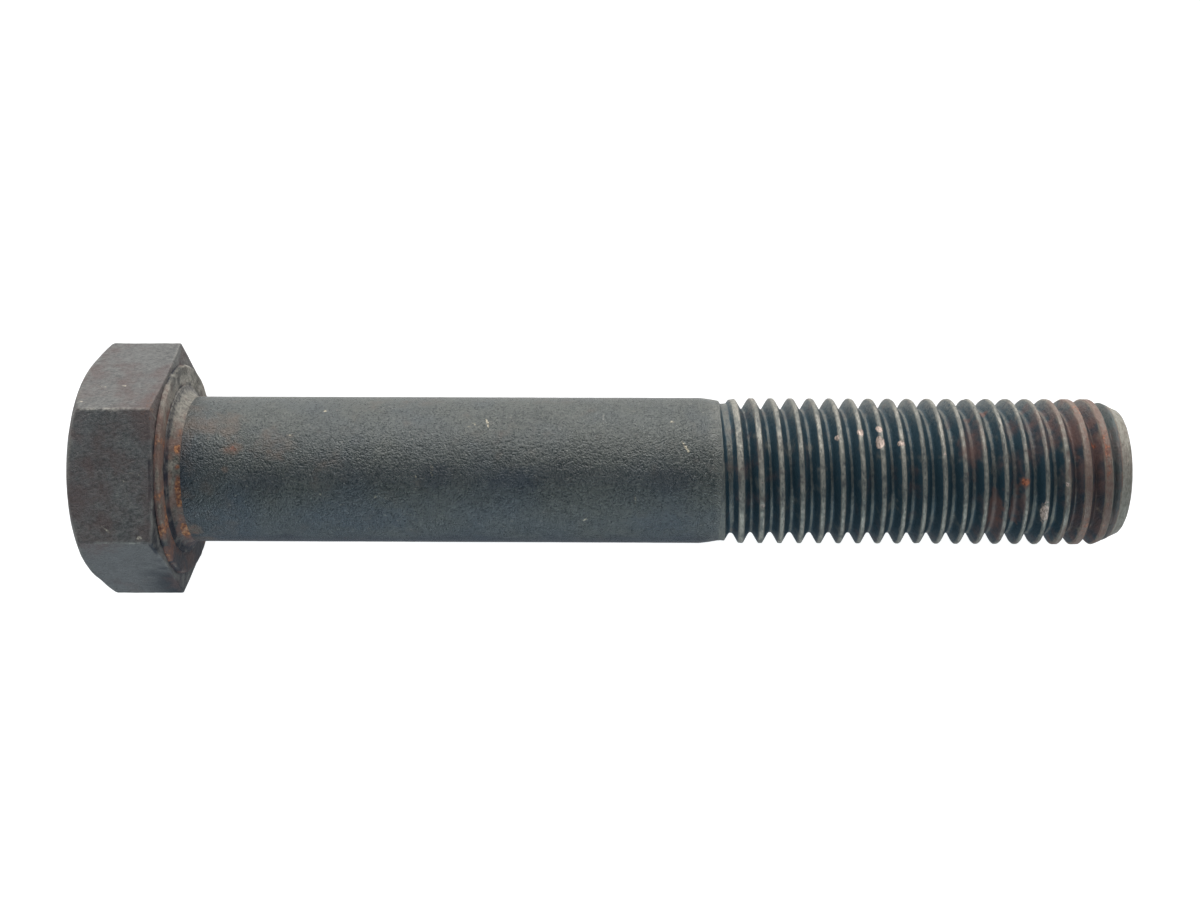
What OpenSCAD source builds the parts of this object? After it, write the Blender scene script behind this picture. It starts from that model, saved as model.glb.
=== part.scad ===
// Hex bolt, 3/4 in - 10 UNC x 4-3/4 in, partly threaded, right-hand thread. Its body is
// 18.95 mm across, a little under the nominal 19.05 mm, as the standard allows.
// The axis is X and +X runs from the head to the tip. The origin is the centre of the
// bearing face. Two flats of the head are square to Z, so the bolt lies on one of them.

/* [Shank] */
// Diameter of the smooth shank
shank_d = 18.95; // [18.85:0.05:19.3]
// Length from the bearing face to the tip
bolt_length = 120.65; // [100:0.05:160]
// Radius of the fillet between the bearing face and the shank
fillet_r = 1.5; // [0.5:0.1:2]

/* [Head] */
// Width across the flats of the hexagon
across_flats = 28.575; // [27.7:0.005:29]
// Height of the head above the bearing face, washer face included
head_height = 11.6; // [11:0.1:12.3]
// Diameter of the flat on top of the head
head_top_d = 26; // [25:0.1:27.5]
// Angle between the corner chamfer and the top of the head
top_chamfer_angle = 28; // [20:1:40]
// Angle between the corner chamfer and the bearing side of the head
underside_chamfer_angle = 5; // [3:1:25]
// Diameter of the washer face
washer_face_d = 27.3; // [25:0.1:28]
// Thickness of the washer face
washer_face_t = 0.6; // [0.3:0.05:0.7]

/* [Thread] */
// Diameter over the thread crests
thread_d = 18.92; // [18.7:0.01:18.95]
// Distance from one crest to the next
pitch = 2.54; // [2:0.01:3]
// Threaded length back from the tip, run-out included
thread_length = 51.5; // [30:0.1:80]
// Length over which the first groove reaches its full depth
runout_length = 2.1; // [1:0.1:6]
// Length of the tapered neck between the shank and the thread
neck_length = 2.6; // [1:0.1:8]
// Diameter at the thread end of the neck
neck_d = 18.25; // [18:0.01:18.6]
// Distance from the tip back to the crest line on the +Y side
crest_setback = 1.43; // [0:0.01:2.5]

/* [Point] */
// Diameter of the flat end of the bolt
point_d = 16.2; // [14.4:0.1:16.6]
// Angle between the point's cone and the axis
point_angle = 24; // [20:1:40]
// Length of the part of the cone that has no thread
point_length = 1.5; // [0.8:0.1:2]

/* [Hidden] */

bolt_grey = [0.27, 0.27, 0.28];
head_brown = [0.30, 0.28, 0.26];
rust = [0.42, 0.29, 0.20];
thread_grey = [0.33, 0.32, 0.31];

round_faces = 96;
neck_start = bolt_length - thread_length - neck_length;
thread_start = bolt_length - thread_length;
thread_end = bolt_length - point_length;
hexagon_height = head_height - washer_face_t;
fillet_outer_r = shank_d / 2 + fillet_r;

// The unified thread form: [place along the pitch, depth], with the crest at place 0.
// The depth is a share of the 60 degree flank's height; the root dips a little lower.
thread_form = [[-1/16, 0], [1/16, 0], [3/8, 1], [1/2, 1.13], [5/8, 1]];
flank_height = pitch * 5 / 16 / tan(30);
thread_columns = 40;
rows_per_turn = len(thread_form);
// Full depth is lost again over this many pitches before the smooth part of the cone
tip_fade_turns = 1.5;
// Crests grow from the neck's diameter to the thread's over this many pitches
crest_growth_turns = 1.3;

// Turns a profile drawn as [radius, distance along the axis] about the X axis
module turned(profile) {
    rotate([0, 90, 0]) rotate_extrude($fn = round_faces) polygon(profile);
}

// How far along the axis a chamfer goes while it widens from one diameter to another
function chamfer_rise(from_d, to_d, angle) = (to_d - from_d) / 2 * tan(angle);

module head() {
    corner_d = across_flats / cos(30);
    beyond_d = corner_d + 2;
    top_x = -head_height;
    under_x = -washer_face_t;
    top_rise = chamfer_rise(head_top_d, beyond_d, top_chamfer_angle);
    under_rise = chamfer_rise(across_flats, beyond_d, underside_chamfer_angle);
    color(head_brown) intersection() {
        translate([top_x, 0, 0]) rotate([0, 90, 0]) rotate([0, 0, 30])
            cylinder(d = corner_d, h = hexagon_height, $fn = 6);
        turned([
            [0, top_x],
            [head_top_d / 2, top_x],
            [beyond_d / 2, top_x + top_rise],
            [beyond_d / 2, under_x - under_rise],
            [across_flats / 2, under_x],
            [0, under_x]
        ]);
    }
}

// The raised ring under the head that bears on the work
module washer_face() {
    color(rust) turned([
        [fillet_outer_r, -washer_face_t],
        [washer_face_d / 2, -washer_face_t],
        [washer_face_d / 2, 0],
        [fillet_outer_r, 0]
    ]);
}

// A plug inside the washer face that narrows to the shank in a hollow quarter round
module underhead_fillet() {
    color(bolt_grey) rotate([0, 90, 0]) rotate_extrude($fn = round_faces) difference() {
        translate([0, -washer_face_t]) square([fillet_outer_r, washer_face_t + fillet_r]);
        translate([fillet_outer_r, fillet_r]) circle(r = fillet_r, $fn = round_faces);
    }
}

module shank() {
    color(bolt_grey) translate([fillet_r, 0, 0]) rotate([0, 90, 0])
        cylinder(d = shank_d, h = neck_start - fillet_r, $fn = round_faces);
}

module neck() {
    color(bolt_grey) turned([
        [0, neck_start],
        [shank_d / 2, neck_start],
        [neck_d / 2, thread_start],
        [0, thread_start]
    ]);
}

function clamped(value, low, high) = max(low, min(high, value));

// Radius of the point's cone at a place along the axis
function cone_r(x) = point_d / 2 + (bolt_length - x) * tan(point_angle);

// Radius of the crests, which grow from the neck's to the full thread's
function crest_r(x) =
    let (growth = clamped((x - thread_start) / (crest_growth_turns * pitch), 0, 1))
    (neck_d + (thread_d - neck_d) * growth) / 2;

// Share of the full groove depth: none at either end of the threaded stretch
function groove_share(x) = min(
    clamped((x - thread_start) / runout_length, 0, 1),
    clamped((thread_end - x) / (tip_fade_turns * pitch), 0, 1)
);

function thread_r(x, depth) = min(crest_r(x) - depth * flank_height * groove_share(x), cone_r(x));

// One point of the thread's skin. Rows follow the thread form turn after turn, each column
// is one angle about the axis, and the rows climb by one pitch in a full turn.
function thread_point(row, column) =
    let (
        angle = 360 * column / thread_columns,
        form = thread_form[row % rows_per_turn],
        turn = floor(row / rows_per_turn) - 2,
        first_crest = (bolt_length - crest_setback - thread_start) % pitch,
        along = thread_start + first_crest + (turn + form[0] + angle / 360) * pitch,
        x = clamped(along, thread_start, thread_end),
        r = thread_r(x, form[1])
    )
    [x, r * cos(angle), r * sin(angle)];

module thread() {
    turns = ceil(thread_length / pitch) + 3;
    rows = turns * rows_per_turn;
    last_row = rows - 1;
    skin = [for (row = [0 : last_row], column = [0 : thread_columns - 1]) thread_point(row, column)];
    start_centre = len(skin);
    end_centre = start_centre + 1;

    // Past the last column the same row goes on one turn further up
    function index(row, column) =
        let (
            wraps = column >= thread_columns ? 1 : 0,
            real_row = clamped(row + wraps * rows_per_turn, 0, last_row)
        )
        real_row * thread_columns + column - wraps * thread_columns;

    function differ(a, b, c) = skin[a] != skin[b] && skin[b] != skin[c] && skin[c] != skin[a];

    sides = [
        for (row = [-rows_per_turn : last_row - 1], column = [0 : thread_columns - 1])
            let (
                low = index(row, column),
                low_next = index(row, column + 1),
                high = index(row + 1, column),
                high_next = index(row + 1, column + 1)
            )
            each [
                if (differ(low, high_next, low_next)) [low, high_next, low_next],
                if (differ(low, high, high_next)) [low, high, high_next]
            ]
    ];
    caps = [
        for (column = [0 : thread_columns - 1])
            let (
                low = index(0, column),
                low_next = (column + 1) % thread_columns,
                high = index(last_row, column),
                high_next = index(last_row, (column + 1) % thread_columns)
            )
            each [
                [start_centre, low, low_next],
                [end_centre, high_next, high]
            ]
    ];
    centres = [[thread_start, 0, 0], [thread_end, 0, 0]];
    color(thread_grey) polyhedron(points = concat(skin, centres), faces = concat(sides, caps));
}

module point() {
    color(bolt_grey) turned([
        [0, thread_end],
        [cone_r(thread_end), thread_end],
        [point_d / 2, bolt_length],
        [0, bolt_length]
    ]);
}

head();
washer_face();
underhead_fillet();
shank();
neck();
thread();
point();
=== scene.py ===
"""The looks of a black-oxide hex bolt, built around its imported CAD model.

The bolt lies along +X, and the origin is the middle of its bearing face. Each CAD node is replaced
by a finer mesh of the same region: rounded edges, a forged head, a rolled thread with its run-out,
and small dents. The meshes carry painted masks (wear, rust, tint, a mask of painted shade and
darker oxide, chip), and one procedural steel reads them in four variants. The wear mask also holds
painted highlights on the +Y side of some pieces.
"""

import math

import bpy
import numpy as np
from mathutils import Matrix, Vector

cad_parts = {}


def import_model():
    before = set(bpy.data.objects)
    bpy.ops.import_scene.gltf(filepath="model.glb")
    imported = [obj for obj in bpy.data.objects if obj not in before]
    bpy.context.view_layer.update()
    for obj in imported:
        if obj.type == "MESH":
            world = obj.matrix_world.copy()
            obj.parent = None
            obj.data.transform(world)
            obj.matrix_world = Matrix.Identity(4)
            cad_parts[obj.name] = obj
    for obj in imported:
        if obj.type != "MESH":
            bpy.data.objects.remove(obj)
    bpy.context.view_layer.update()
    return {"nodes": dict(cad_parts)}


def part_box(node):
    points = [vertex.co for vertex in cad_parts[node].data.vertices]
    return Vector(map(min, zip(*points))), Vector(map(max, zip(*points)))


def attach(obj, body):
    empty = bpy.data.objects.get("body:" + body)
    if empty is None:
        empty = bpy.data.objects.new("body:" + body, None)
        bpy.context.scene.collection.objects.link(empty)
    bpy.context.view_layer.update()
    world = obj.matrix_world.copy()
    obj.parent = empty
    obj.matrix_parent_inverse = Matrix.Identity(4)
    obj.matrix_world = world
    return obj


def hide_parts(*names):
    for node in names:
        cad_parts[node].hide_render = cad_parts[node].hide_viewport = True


MM = 0.001
TAU = 2 * math.pi

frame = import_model()


# ---------------------------------------------------------------- sizes, read from the frame


def end_radius(node, side):
    """Largest radius of a CAD node at its low (0) or high (1) end, in metres."""
    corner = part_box(node)[side].x
    points = np.array([vertex.co for vertex in frame["nodes"][node].data.vertices])
    at_end = np.abs(points[:, 0] - corner) < 0.01 * MM
    return float(np.hypot(points[at_end, 1], points[at_end, 2]).max())


HEAD_LOW, HEAD_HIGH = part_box("head")
TOP_X, UNDER_X = HEAD_LOW.x, HEAD_HIGH.x
HALF_FLATS = HEAD_HIGH.z
TOP_R = end_radius("head", 0)
WASHER_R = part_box("washer_face")[1].y
FILLET_R = end_radius("underhead_fillet", 0)
FILLET_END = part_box("underhead_fillet")[1].x
SHANK_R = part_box("shank")[1].y
NECK_START, THREAD_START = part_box("neck")[0].x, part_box("neck")[1].x
NECK_R = end_radius("neck", 1)
THREAD_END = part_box("point")[0].x
BOLT_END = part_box("point")[1].x
CREST_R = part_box("thread")[1].y
POINT_START_R = end_radius("point", 0)
POINT_R = end_radius("point", 1)

PITCH = 2.54 * MM
# Place of the crest line on the +Y side, back from the tip, as in the CAD thread
CREST_SETBACK = 1.43 * MM
TOP_CHAMFER = math.radians(28)
UNDER_CHAMFER = math.radians(5)
CONE_SLOPE = (POINT_START_R - POINT_R) / (BOLT_END - THREAD_END)


# ---------------------------------------------------------------- noise and small maths


def smooth(t):
    t = np.clip(t, 0, 1)
    return t * t * (3 - 2 * t)


def soft_min(a, b, width):
    """The smaller of a and b, with the corner between them rounded over a width."""
    share = np.clip(0.5 + 0.5 * (b - a) / width, 0, 1)
    return b * (1 - share) + a * share - width * share * (1 - share)


def lattice(i, j, k, seed):
    """A fixed random value from 0 to 1 for each point of a whole-number lattice."""
    h = (i * 374761393 + j * 668265263 + k * 1440662683 + seed * 974711) & 0xFFFFFFFF
    h = ((h ^ (h >> 13)) * 1274126177) & 0xFFFFFFFF
    return ((h ^ (h >> 16)) & 0xFFFF) / 65535.0


# Keeps the planes of the noise lattice off the bolt's own axis
LATTICE_OFFSET = 1000.37


def noise(points, size, seed):
    """Smooth noise from -1 to 1, with bumps about size across (one size, or one per axis).

    Each seed gives another pattern.
    """
    scaled = points / np.asarray(size) + LATTICE_OFFSET
    whole = np.floor(scaled).astype(np.int64)
    part = smooth(scaled - whole)
    total = 0
    for corner in range(8):
        step = np.array([corner & 1, (corner >> 1) & 1, corner >> 2])
        weight = np.prod(np.where(step, part, 1 - part), axis=-1)
        total = total + weight * lattice(*np.moveaxis(whole + step, -1, 0), seed)
    return 2 * total - 1


def around(x, r, angle):
    """Points at a place along the axis, a radius and an angle from +Y towards +Z."""
    x, r, angle = np.broadcast_arrays(x, r, angle)
    return np.stack([x, r * np.cos(angle), r * np.sin(angle)], -1)


def pushed(points, amount):
    """Points moved outwards from the axis by an amount."""
    out = points.copy()
    r = np.maximum(np.hypot(points[..., 1], points[..., 2]), 1e-9)
    out[..., 1:] *= (1 + amount / r)[..., None]
    return out


# ---------------------------------------------------------------- meshes


SHARP_ANGLE = math.radians(38)
# Points nearer to each other than this become one vertex
MERGE_STEP = 0.0001 * MM


def mesh_object(name, points, faces, masks):
    """A smooth-shaded object from points, faces and one painted mask value per point."""
    mesh = bpy.data.meshes.new(name)
    mesh.from_pydata(points.tolist(), [], faces)
    mesh.validate()
    mesh.shade_smooth()
    mesh.set_sharp_from_angle(angle=SHARP_ANGLE)
    for mask, values in masks.items():
        layer = mesh.attributes.new(mask, "FLOAT", "POINT")
        layer.data.foreach_set("value", np.ascontiguousarray(values, np.float32))
    obj = bpy.data.objects.new(name, mesh)
    bpy.context.scene.collection.objects.link(obj)
    return obj


def skinned(name, rings, masks=None, shift=0):
    """A closed object from rings of points, fanned shut at both ends.

    rings is rows x columns x 3. Past the last column a row goes on as the row shift further up.
    Points that coincide are one vertex, and faces that fall flat are left out.
    """
    rows, columns = rings.shape[:2]
    ends = np.array([rings[0].mean(axis=0), rings[-1].mean(axis=0)])
    ends[:, 1:] = 0
    points = np.concatenate([rings.reshape(-1, 3), ends])
    keys = np.round(points / MERGE_STEP).astype(np.int64)
    _, first, same = np.unique(keys, axis=0, return_index=True, return_inverse=True)
    same = same.reshape(-1)

    def index(row, column):
        return np.clip(row, 0, rows - 1) * columns + column

    row, column = np.mgrid[-shift:rows - 1, 0:columns]
    wraps = column + 1 == columns
    beside = np.where(wraps, 0, column + 1)
    low, high = index(row, column), index(row + 1, column)
    low_next = index(row + wraps * shift, beside)
    high_next = index(row + 1 + wraps * shift, beside)
    quads = np.stack([low, low_next, high_next, high], -1).reshape(-1, 4)
    around_cap = np.arange(columns)
    beside_cap = (around_cap + 1) % columns
    last_ring = (rows - 1) * columns
    near_centre, far_centre = np.full(columns, rows * columns), np.full(columns, rows * columns + 1)
    near_cap = np.stack([near_centre, beside_cap, around_cap], -1)
    far_cap = np.stack([far_centre, last_ring + around_cap, last_ring + beside_cap], -1)

    faces = []
    for group in (same[quads], same[near_cap], same[far_cap]):
        for face in group.tolist():
            kept = [vertex for n, vertex in enumerate(face) if vertex != face[n - 1]]
            if len(kept) >= 3 and len(set(kept)) == len(kept):
                faces.append(kept)
    painted = {}
    for mask, values in (masks or {}).items():
        full = np.concatenate([np.broadcast_to(values, (rows, columns)).reshape(-1), [0, 0]])
        painted[mask] = full[first]
    return mesh_object(name, points[first], faces, painted)


def angles(columns):
    return np.arange(columns) * TAU / columns


def turned_rings(profile, columns):
    """Rings for a profile of (place along the axis, radius) turned about the axis."""
    profile = np.asarray(profile, float)
    return around(profile[:, 0][:, None], profile[:, 1][:, None], angles(columns)[None])


def steps(count, points):
    """Shares from 0 up to, but without, 1, shaped to multiply one point or an array of points."""
    return (np.arange(count) / count).reshape(-1, *[1] * np.ndim(points))


def line(start, end, count):
    """Points from start up to, but without, end."""
    t = steps(count, start)
    return np.asarray(start) * (1 - t) + np.asarray(end) * t


def bend(start, corner, end, count):
    """A rounded corner from start up to, but without, end."""
    t = steps(count, start)
    start, corner, end = map(np.asarray, (start, corner, end))
    return start * (1 - t) ** 2 + corner * 2 * t * (1 - t) + end * t * t


def place_piece(obj, node, material):
    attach(obj, "root")
    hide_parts(node)
    obj.data.materials.append(material)


# ---------------------------------------------------------------- marks seen on the steel


def spots(points, marks):
    """Mask of oval marks, each (x mm, degrees, length mm, width mm, lean degrees, strength).

    The first degrees go round the axis, from +Y towards +Z.
    """
    x = points[..., 0] / MM
    radius = np.hypot(points[..., 1], points[..., 2]) / MM
    angle = np.arctan2(points[..., 2], points[..., 1])
    ragged = noise(points, 0.5 * MM, 71) * 0.45
    mask = np.zeros(x.shape)
    for mark_x, degrees, length, width, lean, strength in marks:
        along = x - mark_x
        turn = (angle - math.radians(degrees) + math.pi) % TAU - math.pi
        across = turn * radius
        cos, sin = math.cos(math.radians(lean)), math.sin(math.radians(lean))
        lengthwise = (along * cos + across * sin) / length
        widthwise = (across * cos - along * sin) / width
        far = np.hypot(lengthwise, widthwise) * 2
        mask = np.maximum(mask, strength * smooth(1.4 - far + ragged * 0.7))
    return mask


# ---------------------------------------------------------------- the head

FLAT_COLUMNS = 100
RIDGE_ROUNDING = 0.32 * MM
# How much the forged sides stand back, to leave room for their unevenness
SIDE_SETBACK = 0.045 * MM
TOP_SETBACK = 0.04 * MM
# Radius of the head's last ring, hidden by the fillet. A fan of faces closes what is inside it
HEAD_INNER_R = 9 * MM
HEAD_MARKS = [
    (-6.2, 115, 1.5, 0.30, 35, 0.80),
    (-2.6, 89, 2.6, 0.28, 12, 0.55),
    (-4.0, 92, 1.6, 0.25, -8, 0.50),
    (-5.3, 41, 0.8, 0.45, 10, 0.85),
    (-8.0, 42, 4.6, 0.30, 4, 0.50),
    (-9.6, 55, 0.9, 0.5, 0, 0.60),
    (-2.2, 118, 0.7, 0.5, 0, 0.70),
]


def head_columns():
    """Angles round the hexagon, closer together near its corners."""
    u = (np.arange(FLAT_COLUMNS) + 0.5) / FLAT_COLUMNS * 2 - 1
    along = u * (1.48 - 0.48 * u * u)
    inside = np.arctan(along * math.tan(math.pi / 6))
    return np.concatenate([inside + math.pi / 6 + k * math.pi / 3 for k in range(6)])


def past_corner(angle):
    """Angle from the nearest corner of the hexagon."""
    return (angle + math.pi / 6) % (math.pi / 3) - math.pi / 6


def hexagon_r(angle, rounding):
    """Radius of the hexagon at an angle, with its corners rounded."""
    beyond = past_corner(angle)
    one = HALF_FLATS / np.cos(math.pi / 6 - beyond)
    other = HALF_FLATS / np.cos(math.pi / 6 + beyond)
    return soft_min(one, other, rounding)


def head_profile(angle, edge_r, chamfer_x, under_x):
    """Places along the axis and radii from the middle of the top, over the side, to the inside.

    Each angle has its own outline, because the edges are rounded unevenly.
    """
    ridge = around(np.full_like(angle, -5 * MM), np.full_like(angle, HALF_FLATS), angle)
    slack = 0.50 * MM + 0.22 * MM * noise(ridge, 2.2 * MM, 5)
    under_slack = 0.22 * MM + 0.10 * MM * noise(ridge, 1.6 * MM, 6)
    slope = np.array([math.sin(TOP_CHAMFER), math.cos(TOP_CHAMFER)])
    along_chamfer = slope * slack[:, None] * 0.8

    def station(x, r):
        return np.stack(np.broadcast_arrays(x, r), -1) * np.ones((len(angle), 2))

    centre = station(TOP_X, 0.4 * MM)
    rim = station(TOP_X, TOP_R)
    rim_in = station(TOP_X, TOP_R - slack)
    rim_out = rim + along_chamfer
    shoulder = station(chamfer_x, edge_r)
    shoulder_in = shoulder - along_chamfer
    shoulder_out = station(chamfer_x + slack, edge_r)
    low = station(under_x, edge_r)
    low_in = station(under_x - under_slack, edge_r)
    low_out = station(under_x, edge_r - under_slack)
    inner = station(UNDER_X, HEAD_INNER_R)
    return np.concatenate([
        line(centre, rim_in, 50),
        bend(rim_in, rim, rim_out, 8),
        line(rim_out, shoulder_in, 12),
        bend(shoulder_in, shoulder, shoulder_out, 8),
        line(shoulder_out, low_in, 66),
        bend(low_in, low, low_out, 8),
        line(low_out, inner, 22),
        inner[None],
    ])


def forged(rings, x, r):
    """The head's rings with a forged skin: broad unevenness, hammer-like dents and fine ripples."""
    dents = np.clip(noise(rings, 1.9 * MM, 13) - 0.45, 0, 1)
    skin_lift = (
        0.035 * noise(rings, 4.5 * MM, 11)
        + 0.020 * noise(rings, 1.3 * MM, 12)
        + 0.010 * noise(rings, 0.6 * MM, 14)
        - 0.10 * dents
    ) * MM
    on_side = smooth((x - TOP_X) / (1.0 * MM)) * smooth((UNDER_X - x) / (0.2 * MM))
    rings = pushed(rings, (skin_lift - SIDE_SETBACK) * on_side)
    on_top = smooth((TOP_R + 1 * MM - r) / (1 * MM)) * smooth((TOP_X + 0.8 * MM - x) / (0.6 * MM))
    rings[..., 0] += (TOP_SETBACK + np.abs(skin_lift) * 0.9) * on_top
    return rings


def head_wear(rings, x, r, angle, chamfer_x, under_x):
    """Mask of rubbed edges: the ridges between flats, the rim of the top and both chamfers' ends."""
    from_ridge = np.abs(past_corner(angle)) * HALF_FLATS
    ridge_wear = np.exp(-(from_ridge / (0.20 * MM)) ** 2)[None] * np.ones_like(x)
    ridge_wear *= smooth((x - TOP_X) / (1.2 * MM))
    rim_wear = np.exp(-((r - TOP_R) / (0.35 * MM)) ** 2) * (x < TOP_X + 0.6 * MM)
    shoulder_wear = np.exp(-((x - chamfer_x[None]) / (0.3 * MM)) ** 2) * (r > TOP_R + 0.5 * MM)
    low_wear = np.exp(-((x - under_x[None]) / (0.22 * MM)) ** 2) * (r > HALF_FLATS - 0.5 * MM)
    # The two ridges beside the flat that faces +Z are rubbed brighter than the others
    favoured = 0.30 + 0.50 * np.exp(-((angle[None] - math.pi / 3) / 0.2) ** 2)
    second = 0.20 + 0.40 * smooth((x + 5 * MM) / (4 * MM))
    favoured = favoured + second * np.exp(-((angle[None] - math.pi * 2 / 3) / 0.2) ** 2)
    wear = [ridge_wear * favoured, 0.45 * rim_wear, 0.35 * shoulder_wear, 0.3 * low_wear]
    broken = smooth(0.62 + 0.75 * noise(rings, 1.3 * MM, 21) + 0.3 * noise(rings, 0.5 * MM, 22))
    return np.maximum.reduce(wear) * broken


def head_rust(rings, x, under_x, low_side):
    """Mask of brown stain, stronger towards the bearing side and weaker at both Y ends."""
    side = rings[..., 1]
    rust = 0.30 + 0.30 * noise(rings, 5 * MM, 31) + 0.12 * noise(rings, 2 * MM, 34)
    near_bearing = smooth((x - (UNDER_X - 2.8 * MM)) / (2.6 * MM))
    rust = rust + 0.20 * near_bearing - 0.10 * smooth((side - 8 * MM) / MM)
    beneath = smooth((x - under_x[None]) / (0.15 * MM) + 1)
    rust = rust - 0.30 * beneath * smooth(-side / (6 * MM))
    return rust - 0.26 * low_side * smooth((x + 8 * MM) / (5 * MM))


def head_painted_shade(rings, x, under_x):
    """Mask of painted shade: dark near the bearing side, but for the +Y side, and low on the -Y flat
    towards the bearing side.
    """
    side = rings[..., 1]
    bearing = smooth((x - under_x[None]) / (0.25 * MM) + 2.4) * smooth((8 * MM - side) / (6 * MM))
    bearing = bearing * smooth(0.8 + noise(rings, 1.5 * MM, 33))
    shade = smooth((-side - 9.6 * MM) / (5 * MM) + 0.35 * noise(rings, (3 * MM, MM, MM), 35))
    return np.maximum(0.50 * bearing, 0.46 * smooth((x + 9 * MM) / (9 * MM)) * shade)


def head():
    angle = head_columns()
    edge_r = hexagon_r(angle, RIDGE_ROUNDING)
    chamfer_x = TOP_X + (edge_r - TOP_R) * math.tan(TOP_CHAMFER)
    under_x = UNDER_X - (edge_r - HALF_FLATS) * math.tan(UNDER_CHAMFER)
    profile = head_profile(angle, edge_r, chamfer_x, under_x)
    x, r = profile[..., 0], profile[..., 1]
    rings = forged(around(x, r, angle[None]), x, r)

    # Bluish oxide: the flat on the -Y side, and one corner of the flat that faces +Z
    side = rings[..., 1]
    low_side = smooth((-side - 7.5 * MM) / (2 * MM))
    cold_corner = smooth((-x - 5 * MM) / (5 * MM)) * smooth((side - 2 * MM) / (5 * MM)) * (side < 8.2 * MM)
    chill = low_side + 0.6 * cold_corner + 0.30 * noise(rings, 4 * MM, 32)
    masks = {
        "wear": head_wear(rings, x, r, angle, chamfer_x, under_x),
        "rust": np.clip(head_rust(rings, x, under_x, low_side), 0, 1),
        "tint": np.clip(chill, 0, 1),
        "depth": head_painted_shade(rings, x, under_x),
        "chip": spots(rings, HEAD_MARKS),
    }
    return skinned("forged_head", rings, masks)


# ---------------------------------------------------------------- washer face and fillet

FILLET_RUST = [
    (1.0, 71, 1.2, 1.6, 0, 0.95),
    (1.2, 85, 0.8, 1.0, 0, 0.75),
    (1.2, 100, 1.2, 3.2, 0, 0.90),
    (1.1, 112, 1.0, 2.4, 0, 0.85),
    (1.2, 141, 1.8, 3.2, 0, 1.10),
    (1.0, 128, 1.0, 2.0, 0, 0.75),
]
WASHER_RUST = [
    (-0.3, 71, 1.2, 2.6, 0, 0.75),
    (-0.3, 101, 1.2, 2.2, 0, 0.75),
    (-0.3, 121, 1.2, 3.0, 0, 0.85),
    (-0.3, 140, 1.2, 4.0, 0, 0.70),
]


# How far the bearing face sinks from its rim to the fillet
BEARING_DIP = 0.14 * MM


def ring_faces(rows, columns):
    """Faces of a skin that closes on itself both ways, like a ring's."""
    index = np.arange(rows * columns).reshape(rows, columns)
    above, beside = np.roll(index, -1, 0), np.roll(index, -1, 1)
    above_beside = np.roll(above, -1, 1)
    return np.stack([index, beside, above_beside, above], -1).reshape(-1, 4).tolist()


def washer():
    inner = FILLET_R
    edge = 0.35 * MM
    loop = np.concatenate([
        line((UNDER_X, inner), (UNDER_X, WASHER_R), 8),
        line((UNDER_X, WASHER_R), (-edge, WASHER_R), 5),
        bend((-edge, WASHER_R), (0, WASHER_R), (0, WASHER_R - edge), 6),
        line((0, WASHER_R - edge), (0, WASHER_R - 2.2 * edge), 4),
        line((0, WASHER_R - 2.2 * edge), (-BEARING_DIP, inner), 14),
        line((-BEARING_DIP, inner), (UNDER_X, inner), 4),
    ])
    columns = 480
    rings = turned_rings(loop, columns)
    r = loop[:, 1][:, None]
    uneven = 0.06 * noise(rings, 2.4 * MM, 41) + 0.07 * noise(rings, 0.8 * MM, 42)
    rim = smooth((rings[..., 0] - UNDER_X) / (0.3 * MM)) * (r > inner + 0.4 * MM)
    rings = pushed(rings, (uneven - 0.13) * MM * rim)
    ripple = np.abs(noise(rings, 0.7 * MM, 43)) * 0.05 * MM
    rings[..., 0] -= ripple * (rings[..., 0] > -0.1 * MM) * (r > inner + 0.2 * MM)

    x, side = rings[..., 0], rings[..., 1]
    edge_wear = np.exp(-((r - WASHER_R) / (0.3 * MM)) ** 2) * (x > -0.35 * MM)
    # Painted highlight: the +Y side is made lighter through the wear mask; the wear on the rim's edge is
    # real wear
    painted_highlight_side = smooth((side - 3 * MM) / (7 * MM))
    wear = np.maximum(0.35 * edge_wear, 0.85 * painted_highlight_side) * smooth(0.5 + noise(rings, 1.1 * MM, 44))
    # Painted shade: the -Y side is made darker and bluer, through the tint mask and the shade mask
    low_side = smooth((-side - 5 * MM) / (6 * MM))
    rust = 0.52 + 0.24 * noise(rings, 2.8 * MM, 45) + 0.14 * noise(rings, 0.9 * MM, 46)
    rust = rust - 0.35 * smooth((side - 7 * MM) / (3 * MM)) - 0.25 * low_side
    rust = np.maximum(rust, spots(rings, WASHER_RUST))
    # Painted shade: darker against the head, round the fillet, and on the -Y side
    foot = smooth((UNDER_X + 0.28 * MM - x) / (0.2 * MM))
    trough = smooth((inner + 0.7 * MM - r) / (0.5 * MM)) * smooth(0.75 + 0.6 * noise(rings, 1.4 * MM, 47))
    masks = {
        "wear": wear,
        "rust": np.clip(rust, 0, 1),
        "tint": low_side,
        "depth": 0.5 * np.maximum.reduce([foot, trough, 0.6 * low_side]),
    }
    painted = {mask: np.broadcast_to(values, x.shape).reshape(-1) for mask, values in masks.items()}
    faces = ring_faces(len(loop), columns)
    return mesh_object("bearing_washer_face", rings.reshape(-1, 3), faces, painted)


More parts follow.
